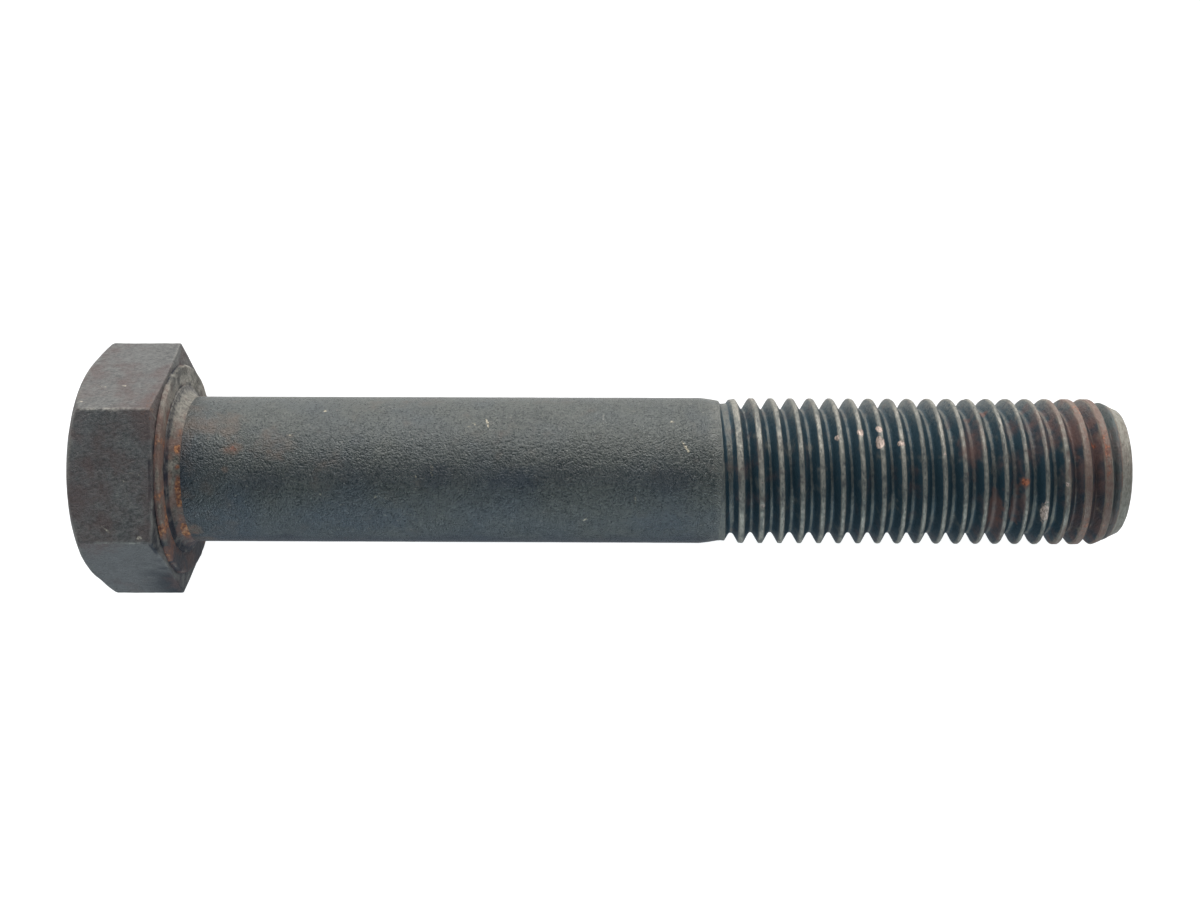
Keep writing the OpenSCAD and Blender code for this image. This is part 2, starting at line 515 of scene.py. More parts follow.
def fillet():
    reach = FILLET_R - SHANK_R
    arc = [(FILLET_END * (1 - math.cos(a)), FILLET_R - reach * math.sin(a))
           for a in np.linspace(0, math.pi / 2, 22)]
    plug = [(UNDER_X, 5 * MM), (UNDER_X, FILLET_R), (-0.3 * MM, FILLET_R), (-BEARING_DIP, FILLET_R)]
    rings = turned_rings(plug + arc[1:], 360)
    x = rings[..., 0]
    inside = smooth((x - 0.05 * MM) / (0.3 * MM)) * smooth((FILLET_END - x) / (0.5 * MM))
    rings = pushed(rings, 0.05 * MM * inside * noise(rings, 0.9 * MM, 51))

    x, side = rings[..., 0], rings[..., 1]
    rust = 0.34 + 0.20 * noise(rings, 2.2 * MM, 52) + 0.16 * noise(rings, 0.8 * MM, 53)
    rust = rust - 0.25 * smooth((side - 6 * MM) / (3 * MM))
    # A broken line of rust runs where the fillet meets the shank, and the fillet's foot is painted dark as
    # shade in the corner
    seam = np.exp(-((x - 1.15 * MM) / (0.42 * MM)) ** 2) * smooth((8.5 * MM - side) / (3 * MM))
    rust = rust + seam * (0.20 + 0.50 * noise(rings, 2.1 * MM, 54) + 0.26 * noise(rings, 0.6 * MM, 55))
    rust = np.maximum(rust, spots(rings, FILLET_RUST) * smooth((x - 0.4 * MM) / (0.4 * MM)))
    foot = smooth((0.32 * MM - x) / (0.22 * MM)) * smooth(0.8 + 0.5 * noise(rings, 1.5 * MM, 56))
    # Painted shade: the foot and the -Y side are made darker and bluer
    low_side = smooth((-side - 3 * MM) / (6 * MM))
    # Painted highlight: the +Y side is made lighter through the wear mask; the noise patches are real wear
    wear = 0.45 * smooth((side - 2 * MM) / (7 * MM)) + 0.25 * smooth(noise(rings, 0.7 * MM, 57) * 2)
    masks = {
        "wear": wear,
        "rust": np.clip(rust - 0.3 * foot, 0, 1),
        "tint": np.maximum(low_side, foot),
        "depth": np.maximum(0.6 * foot, 0.25 * low_side),
    }
    return skinned("underhead_fillet_skin", rings, masks)


# ---------------------------------------------------------------- shank and neck

SHANK_MARKS = [
    (19, 35, 0.5, 0.45, 0, 1.0),
    (15, 59, 0.5, 0.4, 0, 0.6),
    (39.7, 47, 2.2, 0.34, 70, 0.75),
    (38.4, 50, 1.5, 0.28, 35, 0.5),
    (37.4, 51, 1.0, 0.28, 20, 0.45),
    (63, 46, 0.7, 0.45, 0, 0.6),
    (64.6, 68, 2.2, 0.40, 60, 0.85),
    (33, 87, 2.6, 0.5, 88, 0.42),
    (31, 92, 0.6, 0.4, 0, 0.5),
    (19, 106, 0.5, 0.4, 0, 0.6),
    (26, 107, 2.0, 0.4, -30, 0.36),
    (58.4, 108, 2.2, 0.4, 95, 0.42),
    (52, 128, 1.1, 0.3, -30, 0.7),
    (30.6, 124, 1.8, 0.28, 10, 0.36),
    (12.0, 250, 1.6, 0.3, 20, 0.6),
    (33.0, 285, 2.4, 0.3, 70, 0.6),
    (50.0, 230, 1.6, 0.3, -40, 0.6),
]
SHANK_RUST = [
    (7.9, 71, 3.0, 1.5, 0, 0.74),
    (7.2, 87, 1.2, 0.9, 0, 0.55),
    (12.6, 73, 1.0, 0.7, 0, 0.50),
    (6.5, 50, 7.0, 6.0, 0, 0.40),
    (13.0, 68, 7.0, 5.0, 0, 0.36),
    (2.2, 143, 2.4, 3.2, 0, 0.68),
    (40.0, 300, 2.5, 1.8, 0, 0.6),
    (21.0, 215, 1.8, 1.2, 0, 0.5),
]
# Painted shade and darker oxide, mostly along the side that faces up: a long darker band there with darker
# patches along it; patches of bluer oxide lie below it
SHANK_SHADE_AND_DARK_OXIDE = [
    (40.0, 91, 80.0, 3.6, 0, 0.21),
    (12.5, 95, 6.0, 4.0, 0, 0.26),
    (19.5, 81, 8.0, 2.8, 0, 0.20),
    (33.5, 91, 6.0, 3.6, 0, 0.28),
    (43.0, 95, 9.0, 3.0, 0, 0.27),
    (48.5, 87, 8.0, 3.6, 0, 0.22),
    (62.5, 94, 9.0, 4.0, 0, 0.27),
    (26.0, 260, 18.0, 5.0, 0, 0.22),
]
SHANK_BLUES = [
    (23.0, 127, 15.0, 6.0, 0, 0.85),
    (62.0, 131, 11.0, 4.5, 0, 0.75),
    (43.0, 95, 8.0, 3.0, 0, 0.60),
    (50.0, 290, 14.0, 7.0, 0, 0.70),
]


def oxide_skin(rings, strength):
    """Fine leathery unevenness of the oxide skin."""
    lift = (
        0.010 * noise(rings, 5 * MM, 61)
        + 0.005 * noise(rings, (1.1 * MM, 0.9 * MM, 0.9 * MM), 62)
        + 0.005 * noise(rings, 0.5 * MM, 63)
    )
    return pushed(rings, (lift - 0.012) * strength * MM)


def lower_chill(rings):
    """Mask of a bluer colour, which lies on the -Y side and mostly near the head."""
    near_head = 0.45 + 0.55 * np.exp(-rings[..., 0] / (28 * MM))
    uneven = 0.45 * noise(rings, 5 * MM, 68) + 0.2 * noise(rings, 1.5 * MM, 69)
    return np.clip(smooth((-rings[..., 1] + 1 * MM) / (7 * MM)) * near_head + uneven - 0.1, 0, 1)


def painted_underside_shade(rings):
    """Mask of painted shade: a dark band along the -Y side of the shank."""
    return 0.36 * smooth((-rings[..., 1] - 7.4 * MM) / (1.8 * MM) + 0.25 * noise(rings, 3 * MM, 70))


def shank():
    columns, rows = 384, 400
    x = np.linspace(FILLET_END, NECK_START, rows)
    rings = around(x[:, None], SHANK_R, angles(columns)[None])
    from_end = np.minimum(x - FILLET_END, NECK_START - x)
    rings = oxide_skin(rings, smooth(from_end / (0.8 * MM))[:, None])

    from_head = rings[..., 0] - FILLET_END
    rust = 0.07 + 0.12 * noise(rings, 7 * MM, 64) + 0.05 * noise(rings, 2 * MM, 65)
    rust = rust + 0.20 * np.exp(-from_head / (14 * MM)) * smooth(noise(rings, 4 * MM, 72) + 0.4)
    rust = rust + 0.20 * np.exp(-from_head / (2.4 * MM))
    rust = np.maximum(rust, spots(rings, SHANK_RUST))
    # A navy stain next to the head, all round but for the +Y side; it also darkens the steel there
    navy = np.exp(-from_head / (2.2 * MM)) * smooth((7 * MM - rings[..., 1]) / (4 * MM))
    blue = np.maximum.reduce([lower_chill(rings), navy, spots(rings, SHANK_BLUES)])
    # Painted shade: the dark band along the -Y side and the long band on the side that faces up; the
    # patches are darker oxide
    dark = np.maximum.reduce([painted_underside_shade(rings), 0.30 * navy, spots(rings, SHANK_SHADE_AND_DARK_OXIDE)])
    chips = spots(rings, SHANK_MARKS)
    masks = {"rust": np.clip(rust, 0, 1), "tint": blue, "depth": dark, "chip": chips}
    return skinned("smooth_shank", rings, masks)


def neck():
    t = np.linspace(0, 1, 24)
    r = SHANK_R - (SHANK_R - NECK_R) * t ** 1.6
    profile = np.stack([NECK_START + (THREAD_START - NECK_START) * t, r], -1)
    rings = turned_rings(profile, 300)
    rings = oxide_skin(rings, (smooth(t / 0.3) * smooth((1 - t) / 0.3))[:, None])
    rubbed = smooth((rings[..., 0] - NECK_START - 0.6 * MM) / (1.6 * MM))
    wear = 0.30 * rubbed * smooth(0.55 + 0.6 * noise(rings, (1.2 * MM, 2 * MM, 2 * MM), 66))
    rust = np.clip(0.10 + 0.10 * noise(rings, 4 * MM, 67), 0, 1)
    # The dark band along the -Y side is painted shade
    masks = {"wear": wear, "rust": rust, "tint": lower_chill(rings), "depth": painted_underside_shade(rings)}
    return skinned("tapered_neck", rings, masks)


# ---------------------------------------------------------------- the thread and the point

THREAD_COLUMNS = 264
ROWS_PER_TURN = 22
FLANK_SLOPE = math.tan(math.pi / 3)
FULL_DEPTH = 1.42 * MM
# The first groove deepens over this length, told by where its middle lies along the axis
RUNOUT = 2.3 * MM
# Crests grow from the neck's radius over this length, and the last groove fades over the other
CREST_GROWTH = 1.3 * PITCH
TIP_FADE = 0.42 * PITCH


def cone_r(x):
    return POINT_R + (BOLT_END - x) * CONE_SLOPE


def thread_radius(x, phase):
    """Radius of the thread's skin, and how far down its groove it is, from 0 to 1.

    phase is 0 on a crest and 0.5 or -0.5 in a root.
    """
    groove_middle = x + (np.where(phase < 0, -0.5, 0.5) - phase) * PITCH
    run = np.clip((groove_middle - THREAD_START + 0.15 * MM) / RUNOUT, 0, 1)
    fade = np.clip((THREAD_END - 0.12 * MM - x) / TIP_FADE, 0, 1)
    deepest = FULL_DEPTH * np.minimum(run, fade) * smooth((x - THREAD_START) / (0.35 * MM))
    # Half the crest's width, as a share of the pitch: crests are wider at both ends of the thread
    past_start = np.maximum(x - THREAD_START, 0)
    half_crest = 0.064 + 0.115 * np.exp(-past_start / (2.6 * MM)) + 0.02 * (1 - past_start / (50 * MM))
    half_crest = half_crest + 0.090 * smooth((x - (THREAD_END - 9 * MM)) / (6 * MM))
    # The flank falls straight from the crest, rounded where it leaves it and where it meets the root
    fall = (np.abs(phase) - half_crest) * PITCH * FLANK_SLOPE
    fall = -soft_min(-fall, 0 * fall, 0.07 * MM)
    groove = soft_min(fall, deepest, np.minimum(0.30 * MM, deepest * 0.6 + 1e-9))
    groove = np.clip(groove, 0, None)
    crest = NECK_R + (CREST_R - NECK_R) * smooth((x - THREAD_START) / CREST_GROWTH)
    return soft_min(crest - groove, cone_r(x), 0.12 * MM), groove / np.maximum(deepest, 0.05 * MM)


CREST_CHIPS = [
    (88.9, 64, 1.4, 1.8, 0, 1.2),
    (89.0, 52, 0.8, 1.0, 0, 1.0),
    (91.6, 64, 0.9, 0.9, 0, 1.0),
    (86.6, 55, 0.8, 1.2, 0, 0.9),
    (83.6, 59, 0.9, 0.8, 0, 0.9),
    (96.9, 73, 0.5, 0.7, 0, 0.5),
    (74.2, 95, 0.5, 0.5, 0, 0.5),
    (74.3, 115, 0.8, 0.8, 0, 0.5),
    (109.7, 120, 1.1, 3.0, 0, 1.1),
    (112.2, 96, 0.6, 0.6, 0, 0.9),
    (119.9, 77, 0.4, 0.4, 0, 0.7),
    (94.0, 280, 0.7, 1.0, 0, 0.8),
]
THREAD_RUST = [
    (107, 95, 1.2, 1.4, 0, 1.3),
    (103.7, 122, 2.4, 7.0, 0, 0.66),
    (106.3, 119, 2.4, 6.0, 0, 0.66),
    (115.8, 63, 1.2, 1.6, 0, 1.0),
    (102.9, 22, 1.2, 1.6, 0, 0.75),
    (100.5, 62, 4.0, 9.0, 0, 0.50),
    (111, 50, 3.0, 6.0, 0, 0.55),
    (94.0, 250, 6.0, 7.0, 0, 0.60),
    (113.6, 48, 2.4, 9.0, 0, 0.62),
    (116.2, 62, 2.0, 10.0, 0, 0.58),
    (80.0, 300, 4.0, 5.0, 0, 0.55),
]


def thread_wear(rings, share, crest, near_tip):
    """Mask of the crests, rubbed bare in patches, and of a painted highlight on the +Y side, where the
    flanks face the light.
    """
    x, side = rings[..., 0], rings[..., 1]
    patches = 0.60 * noise(rings, (0.5 * MM, 1.8 * MM, 1.8 * MM), 83)
    rough_crest = smooth(0.58 + patches + 0.45 * noise(rings, 0.4 * MM, 87))
    wear = crest * rough_crest * smooth((x - THREAD_START - 0.4 * MM) / (2 * MM))
    painted_top_highlight = smooth((side - 5.5 * MM) / (3.5 * MM)) * (1 - 0.7 * smooth(share * 3 - 1.5))
    return np.maximum(wear * (1 - 0.58 * near_tip), 0.32 * painted_top_highlight)


def thread_rust(rings, crest, near_tip, last_groove):
    """Mask of the rust: most near the tip, some in patches on the half towards it."""
    half = smooth((rings[..., 0] - (THREAD_END - 22 * MM)) / (8 * MM))
    patches = half * smooth(0.6 + noise(rings, 3.5 * MM, 99))
    rust = 0.10 + 0.12 * noise(rings, 5 * MM, 84) + 0.06 * noise(rings, 1.2 * MM, 85)
    rust = rust + (0.34 + 0.24 * crest) * near_tip + 0.14 * patches * (1 - near_tip)
    rust = np.maximum(rust, spots(rings, THREAD_RUST) * (0.85 + 0.25 * noise(rings, 0.9 * MM, 86)))
    return np.clip(rust - 0.16 * last_groove, 0, 1)


def thread_depth(rings, share, last_groove):
    """Mask of painted shade on the flanks. It is weaker along the floor of each root, which leaves a
    painted highlight there, and in the last groove.
    """
    painted_root_highlight = smooth((share - 0.955) / 0.03) * (1 - last_groove)
    flank = smooth(share * 6 - 0.5) * (1 - 0.72 * painted_root_highlight) * (1 - 0.67 * last_groove)
    patchy = 0.60 + 0.32 * noise(rings, 1.3 * MM, 89) + 0.20 * noise(rings, 0.5 * MM, 90)
    return flank * np.clip(np.maximum(patchy, last_groove), 0.2, 1)


def thread():
    turns = math.ceil((THREAD_END - THREAD_START) / PITCH) + 3
    angle = angles(THREAD_COLUMNS)[None]
    # A row keeps one place on the thread's profile and climbs by one pitch in a full turn
    turn = np.arange(turns * ROWS_PER_TURN)[:, None] / ROWS_PER_TURN
    phase = turn - np.floor(turn + 0.5)
    first_crest = (BOLT_END - CREST_SETBACK - THREAD_START) % PITCH - 2 * PITCH
    x = THREAD_START + first_crest + (turn + angle / TAU) * PITCH
    x = np.clip(x, THREAD_START, THREAD_END)
    r, share = thread_radius(x, phase + 0 * x)
    rings = around(x, r, angle)

    ends = smooth((x - THREAD_START) / (0.6 * MM)) * smooth((THREAD_END - x) / (0.5 * MM))
    crest = smooth(1 - share * 11)
    worn = np.clip(noise(rings, (0.9 * MM, 1.6 * MM, 1.6 * MM), 81) - 0.20, 0, 1)
    chips = spots(rings, CREST_CHIPS)
    lift = 0.010 * noise(rings, 0.6 * MM, 82) - 0.014 - crest * (0.16 * worn + 0.12 * chips)
    rings = pushed(rings, lift * MM * ends)

    near_tip = smooth((x - (THREAD_END - 11 * MM)) / (8 * MM) + 0.3 * noise(rings, 3 * MM, 88))
    last_groove = smooth((x - (THREAD_END - 1.9 * MM)) / (0.7 * MM))
    masks = {
        "wear": thread_wear(rings, share, crest, near_tip),
        "rust": thread_rust(rings, crest, near_tip, last_groove),
        "tint": near_tip,
        "depth": thread_depth(rings, share, last_groove),
        "chip": 1.15 * chips * smooth(1.5 - share * 2),
    }
    return skinned("rolled_thread", rings, masks, shift=ROWS_PER_TURN)


def point():
    edge = 0.28 * MM
    start, corner = (THREAD_END, POINT_START_R), (BOLT_END, POINT_R)
    along = np.array(corner) - np.array(start)
    before = np.array(corner) - along / np.linalg.norm(along) * edge
    profile = np.concatenate([
        line(start, before, 14),
        bend(before, corner, (BOLT_END, POINT_R - edge), 8),
        line((BOLT_END, POINT_R - edge), (BOLT_END, 0.3 * MM), 26),
        [(BOLT_END, 0.3 * MM)],
    ])
    rings = turned_rings(profile, THREAD_COLUMNS)
    r = profile[:, 1][:, None]
    free = smooth((rings[..., 0] - THREAD_END) / (0.4 * MM))
    uneven = 0.03 * noise(rings, 1.6 * MM, 91) + 0.03 * noise(rings, 0.6 * MM, 98) - 0.06
    rings = pushed(rings, free * uneven * MM)
    on_face = r < POINT_R - 0.6 * edge
    turned_marks = 0.012 * np.sin(r / (0.42 * MM) * TAU)
    face_lift = 0.05 * noise(rings, 3.2 * MM, 92) + 0.02 * noise(rings, 0.9 * MM, 93) + turned_marks
    rings[..., 0] -= on_face * (0.08 + face_lift) * MM

    edge_wear = np.exp(-((r - POINT_R) / (0.35 * MM)) ** 2)
    first_edge = np.exp(-((rings[..., 0] - THREAD_END - 0.1 * MM) / (0.25 * MM)) ** 2)
    patches = 0.55 * noise(rings, (0.45 * MM, 2 * MM, 2 * MM), 94) + 0.35 * noise(rings, 0.6 * MM, 97)
    wear = (0.84 + 0.16 * np.maximum(edge_wear, first_edge)) * smooth(0.74 + patches)
    rust = 0.20 + 0.16 * noise(rings, 3 * MM, 95) + 0.06 * noise(rings, 1 * MM, 96)
    masks = {
        "wear": wear * (1 - 0.6 * on_face),
        "rust": np.clip(rust, 0, 1),
        "tint": 0.9 - 0.75 * on_face,
        "chip": spots(rings, CREST_CHIPS),
    }
    return skinned("cone_point", rings, masks)


# ---------------------------------------------------------------- materials


# Where Blender's Mix node keeps its pairs of number and colour sockets, and its colour result
MIX_NUMBERS = (2, 3)
MIX_COLOURS = (6, 7)
MIX_COLOUR_OUT = 2


class Steel:
    """Wires one procedural steel. Each method adds nodes and returns an output socket."""

    def __init__(self, name):
        self.material = bpy.data.materials.new(name)
        self.material.use_nodes = True
        self.tree = self.material.node_tree
        self.shader = self.tree.nodes["Principled BSDF"]
        self.place = self.add("ShaderNodeTexCoord").outputs["Object"]

    def add(self, kind, **settings):
        node = self.tree.nodes.new(kind)
        for name, value in settings.items():
            setattr(node, name, value)
        return node

    def feed(self, socket, value):
        if isinstance(value, bpy.types.NodeSocket):
            self.tree.links.new(value, socket)
        elif socket.type == "RGBA":
            socket.default_value = (*value, 1)
        else:
            socket.default_value = value

    def mask(self, name):
        return self.add("ShaderNodeAttribute", attribute_name=name).outputs["Fac"]

    def maths(self, operation, a, b=0.0, clamp=False):
        node = self.add("ShaderNodeMath", operation=operation, use_clamp=clamp)
        self.feed(node.inputs[0], a)
        self.feed(node.inputs[1], b)
        return node.outputs[0]

    def grain(self, size, detail=3.0, stretch=(1, 1, 1), roughness=0.6, lean=0.0):
        """Noise from 0 to 1 with bumps about size across, longer where stretched, turned by lean."""
        mapping = self.add("ShaderNodeMapping", vector_type="TEXTURE")
        self.feed(mapping.inputs["Vector"], self.place)
        mapping.inputs["Scale"].default_value = [size * factor for factor in stretch]
        mapping.inputs["Rotation"].default_value = (0, 0, lean)
        node = self.add("ShaderNodeTexNoise")
        self.feed(node.inputs["Vector"], mapping.outputs[0])
        node.inputs["Scale"].default_value = 1
        node.inputs["Detail"].default_value = detail
        node.inputs["Roughness"].default_value = roughness
        return node.outputs["Fac"]

    def between(self, value, low, high):
        """0 below low, 1 above high, smooth between."""
        node = self.add("ShaderNodeMapRange", interpolation_type="SMOOTHSTEP")
        self.feed(node.inputs["Value"], value)
        self.feed(node.inputs["From Min"], low)
        self.feed(node.inputs["From Max"], high)
        return node.outputs["Result"]

    def mix(self, share, a, b):
        """Colour a where the share is 0 and b where it is 1."""
        node = self.add("ShaderNodeMix", data_type="RGBA")
        self.feed(node.inputs[0], share)
        for socket, colour in zip(MIX_COLOURS, (a, b)):
            self.feed(node.inputs[socket], colour)
        return node.outputs[MIX_COLOUR_OUT]

    def blend(self, share, a, b):
        """Number a where the share is 0 and b where it is 1."""
        node = self.add("ShaderNodeMix", data_type="FLOAT")
        self.feed(node.inputs[0], share)
        for socket, number in zip(MIX_NUMBERS, (a, b)):
            self.feed(node.inputs[socket], number)
        return node.outputs[0]

    def bump(self, height, distance, strength, below=None):
        node = self.add("ShaderNodeBump")
        node.inputs["Distance"].default_value = distance
        node.inputs["Strength"].default_value = strength
        self.feed(node.inputs["Height"], height)
        if below is not None:
            self.feed(node.inputs["Normal"], below)
        return node.outputs["Normal"]


def mottling(steel, stretch, crisp, fibres):
    """Tone and height of the leathery oxide, and the finest grain in it."""
    leathery = steel.grain(0.85 * MM, 4.0, stretch, 0.66)
    fine = steel.grain(0.30 * MM, 2.0, stretch, 0.6)
    cloudy = steel.grain(5 * MM, 3.0, stretch, 0.55)
    tone = steel.blend(0.35, leathery, cloudy)
    tone = steel.blend(crisp, tone, fine)
    height = steel.blend(0.55, leathery, fine)
    if fibres:
        wrinkles = steel.grain(0.34 * MM, 4.0, (2.1, 1.0, 1.0), 0.68, 0.45)
        tone = steel.blend(fibres, tone, wrinkles)
        height = steel.blend(fibres * 1.6, height, wrinkles)
    return tone, height, fine


def scratched(steel, colour, worn, strength):
    """The colour crossed by fine straight scratches that lean three ways."""
    for lean in (0.55, -0.75, 1.9):
        scored = steel.between(steel.grain(0.20 * MM, 1.0, (12.0, 1.0, 1.0), 0.5, lean), 0.66, 0.76)
        colour = steel.mix(steel.maths("MULTIPLY", scored, strength), colour, worn)
    return colour


def oxide(steel, mottle, hue, depth, dark, light, tint, worn, shade_and_dark_oxide_colour, stretch, drift_share, scratches):
    """Colour of the oxide: mottled, drifting in hue, with pale specks, scratches, and painted shade where
    the mask of shade and darker oxide is high.
    """
    colour = steel.mix(mottle, dark, light)
    tinted = steel.mix(mottle, [part * 0.62 for part in tint], tint)
    broad = steel.grain(11 * MM, 2.0, stretch, 0.5)
    drifted = steel.maths("MULTIPLY", steel.between(broad, 0.45, 0.65), drift_share)
    colour = steel.mix(steel.maths("ADD", drifted, hue, clamp=True), colour, tinted)
    pale = steel.between(steel.grain(0.42 * MM, 1.0), 0.70, 0.78)
    colour = steel.mix(steel.maths("MULTIPLY", pale, 0.40), colour, worn)
    if scratches:
        colour = scratched(steel, colour, worn, scratches)
    # Painted shade: the colour goes towards the dark shade colour where the mask of shade and darker oxide
    # is high
    return steel.mix(steel.between(depth, 0.06, 0.50), colour, shade_and_dark_oxide_colour)


def flaked_with_rust(steel, colour, rust, flake_dark, flake_light):
    """The colour under crusty orange flakes, and where they are: only where the mask is high."""
    crumbs = steel.grain(0.55 * MM, 3.0, roughness=0.7)
    flaked = steel.between(steel.maths("ADD", rust, steel.maths("MULTIPLY", crumbs, 0.6)), 0.93, 1.20)
    crust = steel.mix(steel.between(steel.grain(0.4 * MM, 2.0), 0.40, 0.65), flake_dark, flake_light)
    return steel.mix(flaked, colour, crust), flaked


def chipped_bare(steel, colour, chip, fine, chip_colour):
    """The colour with pitted bare metal where the mask of chips is high."""
    crumbled = steel.maths("MULTIPLY", steel.grain(0.28 * MM, 2.0), 1.4)
    chipped = steel.between(steel.maths("ADD", chip, crumbled), 1.02, 1.45)
    pitted = steel.mix(steel.between(fine, 0.38, 0.60), [part * 0.4 for part in chip_colour], chip_colour)
    return steel.mix(chipped, colour, pitted)


def oxide_steel(name, dark, light, tint, worn, stain, flake_dark, flake_light, shade_and_dark_oxide_colour, chip_colour,
                stretch=(1, 1, 1), roughness=0.5, metallic=0.25, leather=1.0, fibres=0.0, soak=0.75,
                drift_share=0.3, scratches=0.0, specular=0.35, crisp=0.45):
    """Black oxide over steel: mottled, stained brown, flaked with rust and rubbed bare."""
    steel = Steel(name)
    wear, rust, depth, hue, chip = map(steel.mask, ("wear", "rust", "depth", "tint", "chip"))
    tone, height, fine = mottling(steel, stretch, crisp, fibres)
    mottle = steel.between(tone, 0.385, 0.615)
    colour = oxide(steel, mottle, hue, depth, dark, light, tint, worn, shade_and_dark_oxide_colour, stretch, drift_share,
                   scratches)

    # Brown stain: soft and dark, spreading where the painted mask is middling
    drift = steel.grain(2.2 * MM, 4.0, roughness=0.6)
    soaked = steel.between(steel.maths("ADD", rust, drift), 0.62, 1.15)
    colour = steel.mix(steel.maths("MULTIPLY", soaked, soak), colour, stain)
    colour, flaked = flaked_with_rust(steel, colour, rust, flake_dark, flake_light)

    # Bare metal on rubbed edges, less where stained, and in chips; on some pieces the wear mask also
    # brings a painted highlight on the +Y side
    uneven = steel.between(steel.grain(0.4 * MM, 2.0, stretch), 0.22, 0.62)
    unstained = steel.maths("SUBTRACT", 1.0, steel.maths("MULTIPLY", soaked, 0.4))
    scuffed = steel.maths("MULTIPLY", steel.maths("MULTIPLY", wear, uneven), unstained)
    colour = steel.mix(scuffed, colour, worn)
    colour = chipped_bare(steel, colour, chip, fine, chip_colour)
    steel.feed(steel.shader.inputs["Base Color"], colour)

    # Shine: duller where stained, dullest on the flakes
    shine = steel.blend(steel.between(tone, 0.35, 0.65), roughness - 0.06, roughness + 0.08)
    shine = steel.blend(soaked, shine, roughness + 0.12)
    shine = steel.blend(flaked, shine, 0.85)
    shine = steel.blend(scuffed, shine, 0.42)
    steel.feed(steel.shader.inputs["Roughness"], shine)
    steel.feed(steel.shader.inputs["Metallic"], steel.blend(soaked, metallic, metallic * 0.4))
    steel.shader.inputs["Specular IOR Level"].default_value = specular

    relief = steel.bump(height, 0.22 * MM * leather, 1.0)
    crusty = steel.maths("ADD", flaked, steel.grain(0.15 * MM, 1.0, stretch))
    relief = steel.bump(crusty, 0.025 * MM, 0.8, relief)
    steel.feed(steel.shader.inputs["Normal"], relief)
    return steel.material


def head_steel():
    return oxide_steel(
        "forged_oxide_steel",
        dark=(0.056, 0.056, 0.058),
        light=(0.140, 0.141, 0.138),
        tint=(0.126, 0.128, 0.132),
        worn=(0.30, 0.29, 0.26),
        stain=(0.080, 0.046, 0.044),
        flake_dark=(0.09, 0.035, 0.022),
        flake_light=(0.22, 0.10, 0.05),
        shade_and_dark_oxide_colour=(0.014, 0.018, 0.026),
        chip_colour=(0.36, 0.33, 0.28),
        stretch=(1.2, 1, 1),
        leather=1.3,
        fibres=0.34,
        soak=0.62,
        drift_share=0.2,
        scratches=0.13,
        specular=0.40,
        crisp=0.5,
    )


def bearing_steel():
    return oxide_steel(
        "rusted_bearing_steel",
        dark=(0.054, 0.054, 0.050),
        light=(0.19, 0.178, 0.150),
        tint=(0.046, 0.048, 0.060),
        worn=(0.32, 0.30, 0.26),
        stain=(0.138, 0.074, 0.060),
        flake_dark=(0.13, 0.05, 0.032),
        flake_light=(0.37, 0.175, 0.080),
        shade_and_dark_oxide_colour=(0.016, 0.018, 0.028),
        chip_colour=(0.4, 0.36, 0.3),
        roughness=0.58,
        metallic=0.2,
    )


def shank_steel():
    return oxide_steel(
        "satin_oxide_steel",
        dark=(0.023, 0.030, 0.031),
        light=(0.084, 0.092, 0.086),
        tint=(0.044, 0.061, 0.078),
        worn=(0.28, 0.27, 0.24),
        stain=(0.088, 0.064, 0.050),
        flake_dark=(0.12, 0.040, 0.028),
        flake_light=(0.23, 0.090, 0.058),
        shade_and_dark_oxide_colour=(0.014, 0.020, 0.032),
        chip_colour=(0.48, 0.43, 0.33),
        stretch=(0.85, 0.85, 0.85),
        roughness=0.31,
        leather=1.45,
        soak=0.85,
        drift_share=0.22,
        specular=0.62,
        crisp=0.6,
    )


def thread_steel():
    return oxide_steel(
        "worn_thread_steel",
        dark=(0.064, 0.074, 0.076),
        light=(0.145, 0.15, 0.138),
        tint=(0.22, 0.205, 0.170),
        worn=(0.29, 0.275, 0.24),
        stain=(0.138, 0.072, 0.060),
        flake_dark=(0.14, 0.045, 0.030),
        flake_light=(0.40, 0.14, 0.07),
        shade_and_dark_oxide_colour=(0.018, 0.044, 0.062),
        chip_colour=(0.56, 0.44, 0.38),
        stretch=(0.5, 1.4, 1.4),
        roughness=0.48,
        leather=0.7,
        drift_share=0.1,
    )


# ---------------------------------------------------------------- stage, light and camera


FLOOR_HALF = 3.0
FLOOR_GAP = 0.05 * MM


def floor():
    """A pale floor just under the lower flat of the head and the thread near the tip."""
    head_x, head_z = UNDER_X, -HALF_FLATS
    tip_x, tip_z = THREAD_END - 1.5 * MM, -CREST_R
    slope = (tip_z - head_z) / (tip_x - head_x)
    low, high = (head_z - FLOOR_GAP + (x - head_x) * slope for x in (-FLOOR_HALF, FLOOR_HALF))
    corners = np.array([
        (-FLOOR_HALF, -FLOOR_HALF, low),
        (FLOOR_HALF, -FLOOR_HALF, high),
        (FLOOR_HALF, FLOOR_HALF, high),
        (-FLOOR_HALF, FLOOR_HALF, low),
    ])
    obj = mesh_object("pale_floor", corners, [[0, 1, 2, 3]], {})
    material = bpy.data.materials.new("pale_paper")
    material.use_nodes = True
    shader = material.node_tree.nodes["Principled BSDF"]
    shader.inputs["Base Color"].default_value = (0.50, 0.50, 0.50, 1)
    shader.inputs["Roughness"].default_value = 0.9
    shader.inputs["Emission Color"].default_value = (1, 1, 1, 1)
    shader.inputs["Emission Strength"].default_value = 0.86
    obj.data.materials.append(material)
    # The steel doesn't mirror the floor, so the lower side of the bolt stays dark
    obj.visible_glossy = False


